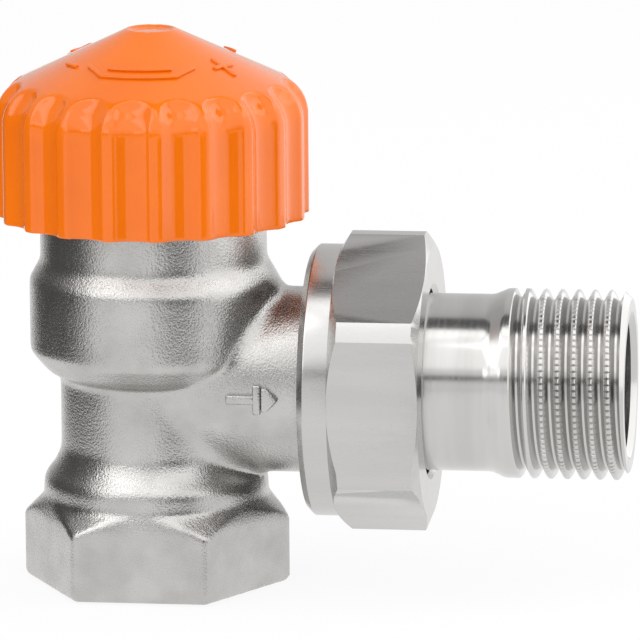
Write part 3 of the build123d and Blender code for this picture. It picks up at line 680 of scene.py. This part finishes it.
# %% Turn the tailpiece
TAIL_RADIUS = 10.48
tail = turn_on_lathe("tailpiece_turned", (
    (7.7, 25.05), (8.4, 25.05), (9.9, 26.75), (12.3, 26.75, 0.15), (12.3, 28.75, 0.15), (9.8, 28.75, 0.3),
    (9.8, 37.8, 2.0), (TAIL_RADIUS, 39.4, 1.0), (TAIL_RADIUS, 52.1, 0.1), (9.58, 53.0, 0.1), (8.2, 53.0, 0.1),
    (7.7, 52.3),
), closed=True, steps=192)
combine(tail, thread_cutter("tail_cutter", TAIL_RADIUS, -1, 39.9, 8, fade=0.6))
report(tail)

# %% Notch the crests
NOTCHES = 92
NOTCH_DEPTH = 0.26
WEDGE_RADIUS, WEDGE_LENGTH, WEDGE_MIDDLE = 0.42, 11.0, 48.6

let_go()
bpy.ops.mesh.primitive_cylinder_add(vertices=3, radius=WEDGE_RADIUS * MM, depth=WEDGE_LENGTH * MM)
wedge = bpy.context.object
wedge.name = "notch_cutter"
bpy.ops.object.mode_set(mode="EDIT")
bpy.ops.mesh.select_all(action="SELECT")
bpy.ops.transform.rotate(value=-math.pi / 2, orient_axis="Z", center_override=(0, 0, 0))
bpy.ops.object.mode_set(mode="OBJECT")
lowest = min(vertex.co.x for vertex in wedge.data.vertices)
wedge.location = ((TAIL_RADIUS - NOTCH_DEPTH) * MM - lowest, 0, WEDGE_MIDDLE * MM)
bpy.ops.object.transform_apply(location=True, rotation=True, scale=True)
bpy.ops.object.mode_set(mode="EDIT")
bpy.ops.mesh.select_all(action="SELECT")
bpy.ops.mesh.spin(steps=NOTCHES - 1, dupli=True, angle=2 * math.pi * (NOTCHES - 1) / NOTCHES,
                  center=(0, 0, 0), axis=(0, 0, 1))
bpy.ops.mesh.select_all(action="SELECT")
bpy.ops.mesh.normals_make_consistent(inside=False)
bpy.ops.object.mode_set(mode="OBJECT")
combine(tail, wedge)
lay_on_outlet(tail)
tail.name = "tailpiece_turned"
finish_shading(tail, 32)
report(tail)

# %% [markdown]
# ## Protective cap
#
# The cap is moulded in plastic. Its grip flutes run up the skirt and end in arches on the shoulder, and the mould
# leaves every ridge a little round. The soft copy gives that. The inside is cut afterwards, as the core of the
# mould would.

# %% Mould the cap
CAP_GRID = 0.23
CAP_ROUNDS = 2

cap_plug = turn_on_lathe("cap_plug", ((0, 41.3), (15.6, 41.3), (15.4, 52.5), (3.2, 59.0), (0, 59.0)))
cap = soft_copy("cap_moulding", "protective_cap", (cap_plug,), CAP_GRID, CAP_ROUNDS)
core = turn_on_lathe("cap_core", (
    (0, 40.3), (15.4, 40.3), (15.4, 42.8), (15.05, 43.15), (15.05, 54.09, 2.5), (3.0, 59.77), (3.0, 55.55),
    (0, 55.55),
))
combine(cap, core)
finish_shading(cap, 40)
report(cap)

# %% [markdown]
# ## Signs on the cap
#
# A cap that also closes the valve by hand shows which way to turn it: a curved arrow with two heads, a plus and a
# minus. Each is a thin strip. An arc is one short edge turned with Spin, and the strokes are narrow plates. They
# are pressed on the cone from above. The same set is repeated on the far side.

# %% Strokes seen from above
SIGN_ABOVE = 70.0


def arc_stroke(name, radius, width, start, sweep, steps):
    """A flat arc round the Z axis, from a start angle over a sweep in degrees, 0 at -Y."""
    let_go()
    bpy.ops.mesh.primitive_plane_add(size=MM)
    stroke = bpy.context.object
    stroke.name = name
    bpy.ops.object.mode_set(mode="EDIT")
    bpy.ops.mesh.select_all(action="SELECT")
    bpy.ops.mesh.merge(type="CENTER")
    angle = math.radians(start)
    outward = Vector((math.sin(angle), -math.cos(angle), 0))
    bpy.ops.transform.translate(value=(outward * (radius - width / 2) + Vector((0, 0, SIGN_ABOVE))) * MM)
    for step in range(2):
        bpy.ops.mesh.extrude_region_move(TRANSFORM_OT_translate={"value": outward * width / 2 * MM})
    bpy.ops.mesh.select_all(action="SELECT")
    bpy.ops.mesh.spin(steps=steps, angle=-math.radians(sweep), center=(0, 0, 0), axis=(0, 0, 1))
    bpy.ops.object.mode_set(mode="OBJECT")
    return stroke


def bar_stroke(name, start, end, width):
    """A flat bar between two points, each given as (angle from -Y in degrees, radius in mm)."""
    first, last = (
        Vector((math.sin(math.radians(angle)) * radius, -math.cos(math.radians(angle)) * radius))
        for angle, radius in (start, end)
    )
    let_go()
    bpy.ops.mesh.primitive_grid_add(x_subdivisions=12, y_subdivisions=3, size=MM)
    stroke = bpy.context.object
    stroke.name = name
    along = last - first
    middle = (first + last) / 2
    stroke.scale = (along.length, width, 1)
    stroke.rotation_euler = (0, 0, math.atan2(along.y, along.x))
    stroke.location = Vector((middle.x, middle.y, SIGN_ABOVE)) * MM
    bpy.ops.object.transform_apply(location=True, rotation=True, scale=True)
    return stroke


# %% Arrow, plus and minus
SIGN_WIDTH = 0.5
SIGN_HEIGHT = 0.3
strokes = []
for side in (0, 180):
    strokes += [
        arc_stroke("sign_arc", 10.7, SIGN_WIDTH, side - 23, 47, 24),
        bar_stroke("sign_head", (side - 22, 10.7), (side - 37, 9.4), SIGN_WIDTH),
        arc_stroke("sign_arc", 9.5, 0.3, side - 21, 43, 24),
        bar_stroke("sign_head", (side + 23, 10.7), (side + 38, 9.4), SIGN_WIDTH),
        bar_stroke("sign_plus", (side + 60, 8.4), (side + 60, 11.7), SIGN_WIDTH),
        bar_stroke("sign_plus", (side + 51.5, 10.0), (side + 69.5, 10.0), SIGN_WIDTH),
        bar_stroke("sign_minus", (side - 47, 9.8), (side - 60, 9.8), SIGN_WIDTH),
    ]
for stroke in strokes:
    take(stroke)
    bpy.ops.object.mode_set(mode="EDIT")
    bpy.ops.mesh.select_all(action="SELECT")
    bpy.ops.mesh.normals_make_consistent(inside=False)
    bpy.ops.object.mode_set(mode="OBJECT")
cap_signs = join_pieces("cap_signs", strokes)
raise_on(cap_signs, cap, "z", SIGN_HEIGHT)
report(cap_signs)

# %% [markdown]
# ## Finishes
#
# Each finish has its grain at the real scale. One node group makes fine grain from Object coordinates, so that it
# stays on the piece. The metals and plastics use it with their own size and stretch: even for the blasted casting,
# long and thin for turned and milled faces.

# %% The grain group
def make_grain_group():
    """Noise on a vector at two scales, a fine and a coarse one."""
    group = bpy.data.node_groups.new("fine_grain", "ShaderNodeTree")
    group.interface.new_socket("Vector", in_out="INPUT", socket_type="NodeSocketVector")
    group.interface.new_socket("Fine Scale", in_out="INPUT", socket_type="NodeSocketFloat")
    group.interface.new_socket("Coarse Scale", in_out="INPUT", socket_type="NodeSocketFloat")
    group.interface.new_socket("Fine", in_out="OUTPUT", socket_type="NodeSocketFloat")
    group.interface.new_socket("Coarse", in_out="OUTPUT", socket_type="NodeSocketFloat")
    enter = group.nodes.new("NodeGroupInput")
    leave = group.nodes.new("NodeGroupOutput")
    for scale, result in (("Fine Scale", "Fine"), ("Coarse Scale", "Coarse")):
        noise = group.nodes.new("ShaderNodeTexNoise")
        noise.inputs["Detail"].default_value = 3.0
        group.links.new(enter.outputs["Vector"], noise.inputs["Vector"])
        group.links.new(enter.outputs[scale], noise.inputs["Scale"])
        group.links.new(noise.outputs["Fac"], leave.inputs[result])
    return group


grain_group = make_grain_group()
print("grain group sockets:", [item.name for item in grain_group.interface.items_tree])


# %% A finish with grain
def new_finish(name, metallic):
    """A plain Principled material; returns it with its tree and shader."""
    material = bpy.data.materials.new(name)
    material.use_nodes = True
    tree = material.node_tree
    tree.nodes.clear()
    shader = tree.nodes.new("ShaderNodeBsdfPrincipled")
    out = tree.nodes.new("ShaderNodeOutputMaterial")
    link(tree, shader.outputs["BSDF"], out.inputs["Surface"])
    shader.inputs["Metallic"].default_value = metallic
    return material, tree, shader


def grain(tree, fine, coarse, stretch):
    """The grain group on stretched Object coordinates; scales are in 1/m."""
    place = tree.nodes.new("ShaderNodeTexCoord")
    mapping = tree.nodes.new("ShaderNodeMapping")
    mapping.inputs["Scale"].default_value = stretch
    link(tree, place.outputs["Object"], mapping.inputs["Vector"])
    node = tree.nodes.new("ShaderNodeGroup")
    node.node_tree = grain_group
    link(tree, mapping.outputs["Vector"], node.inputs["Vector"])
    node.inputs["Fine Scale"].default_value = fine
    node.inputs["Coarse Scale"].default_value = coarse
    return node.outputs["Fine"], node.outputs["Coarse"]


def add_bump(tree, shader, height, strength, depth):
    bump = tree.nodes.new("ShaderNodeBump")
    bump.inputs["Strength"].default_value = strength
    bump.inputs["Distance"].default_value = depth * MM
    link(tree, height, bump.inputs["Height"])
    link(tree, bump.outputs["Normal"], shader.inputs["Normal"])


def grey(value, warmth=0.0):
    return (value, value * (1 - warmth * 0.4), value * (1 - warmth))


# %% A grained finish
def grained_finish(name, metallic, scales, stretch, colours, roughness, bump):
    """A finish whose colour follows the coarse grain and whose roughness and bump follow the fine grain."""
    material, tree, shader = new_finish(name, metallic)
    fine, coarse = grain(tree, *scales, stretch)
    colour_stops = ((0.3, colours[0]), (0.7, colours[1]))
    link(tree, ramp_node(tree, coarse, colour_stops), shader.inputs["Base Color"])
    link(tree, ramp_node(tree, fine, roughness), shader.inputs["Roughness"])
    add_bump(tree, shader, fine, *bump)
    print("finish", name)
    return material


EVEN = (1, 1, 1)

# %% Metals
cast_nickel = grained_finish(
    "cast_nickel", 1.0, (4200, 260), EVEN, (grey(0.47, 0.05), grey(0.57, 0.04)),
    roughness=((0.3, 0.20), (0.75, 0.32)), bump=(0.9, 0.06))
turned_nickel = grained_finish(
    "turned_nickel", 1.0, (5200, 300), (1.0, 0.06, 0.06), (grey(0.55, 0.04), grey(0.63, 0.03)),
    roughness=((0.3, 0.14), (0.7, 0.22)), bump=(0.12, 0.02))
milled_nickel = grained_finish(
    "milled_nickel", 1.0, (5200, 300), (0.12, 1.0, 1.0), (grey(0.55, 0.03), grey(0.59, 0.03)),
    roughness=((0.3, 0.22), (0.7, 0.28)), bump=(0.04, 0.02))
bright_brass = grained_finish(
    "bright_brass", 1.0, (3000, 240), (1.0, 1.0, 0.2), ((0.62, 0.42, 0.16), (0.75, 0.53, 0.22)),
    roughness=((0.3, 0.2), (0.7, 0.36)), bump=(0.12, 0.02))
stainless = grained_finish(
    "stainless", 1.0, (4200, 240), (1.0, 1.0, 0.1), (grey(0.50), grey(0.62)),
    roughness=((0.3, 0.18), (0.7, 0.34)), bump=(0.1, 0.02))

# %% Plastics and rubber
orange_plastic = grained_finish(
    "orange_plastic", 0.0, (1800, 90), EVEN, ((0.81, 0.153, 0.0), (0.87, 0.173, 0.0)),
    roughness=((0.3, 0.15), (0.75, 0.22)), bump=(0.08, 0.03))
gloss = orange_plastic.node_tree.nodes["Principled BSDF"]
gloss.inputs["Specular IOR Level"].default_value = 0.05
gloss.inputs["Coat Weight"].default_value = 1.0
gloss.inputs["Coat Roughness"].default_value = 0.10
white_plastic = grained_finish(
    "white_plastic", 0.0, (1800, 120), EVEN, (grey(0.74), grey(0.80)),
    roughness=((0.3, 0.40), (0.75, 0.52)), bump=(0.08, 0.03))
black_rubber = grained_finish(
    "black_rubber", 0.0, (1500, 160), EVEN, (grey(0.018), grey(0.032)),
    roughness=((0.3, 0.55), (0.75, 0.72)), bump=(0.12, 0.03))

# %% [markdown]
# ## Putting it together
#
# Each new piece rides on the CAD body that it belongs to. Most replace a plain solid of that body. The parts of the
# valve insert are already right as CAD solids, so they only get a finish.

# %% Ride, replace and paint
def dress(piece, material, body, slot_name, *nodes):
    piece.data.materials.clear()
    piece.data.materials.append(material)
    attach(piece, body)
    if nodes:
        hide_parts(*nodes)


dress(casting, cast_nickel, "valve", "nickel_cast", "valve_body")
dress(flow_arrow, cast_nickel, "valve", "nickel_cast")
dress(nut, milled_nickel, "nut", "nickel_turned", "union_nut")
dress(tail, turned_nickel, "tail", "nickel_turned", "tailpiece")
dress(cap, orange_plastic, "cap", "cap_plastic", "protective_cap")
dress(cap_signs, orange_plastic, "cap", "cap_plastic")

INNER_FINISHES = {
    "insert_brass": bright_brass,
    "sleeve_plastic": white_plastic,
    "dial_plastic": white_plastic,
    "seal_rubber": black_rubber,
    "stainless": stainless,
}
slots = {part["node"]: part["material_slot"] for part in frame["record"]["subparts"]}
for name, node in frame["nodes"].items():
    if slots[name] in INNER_FINISHES:
        node.data.materials.clear()
        node.data.materials.append(INNER_FINISHES[slots[name]])

# %% [markdown]
# ## The return spring
#
# The return spring stands in the stem and pushes the spindle up. When the cap is screwed down, the spindle comes
# down and presses it together. The CAD solid is rigid; a merged copy of it takes its place and rides on the
# setting body.

spring = bpy.data.objects.new("return_spring_coil", frame["nodes"]["return_spring"].data.copy())
scene.collection.objects.link(spring)
take(spring)
bpy.ops.object.mode_set(mode="EDIT")
bpy.ops.mesh.select_all(action="SELECT")
bpy.ops.mesh.remove_doubles(threshold=CAD_MERGE)
bpy.ops.object.mode_set(mode="OBJECT")
finish_shading(spring, 40)
dress(spring, stainless, "setting", "stainless", "return_spring")
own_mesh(spring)
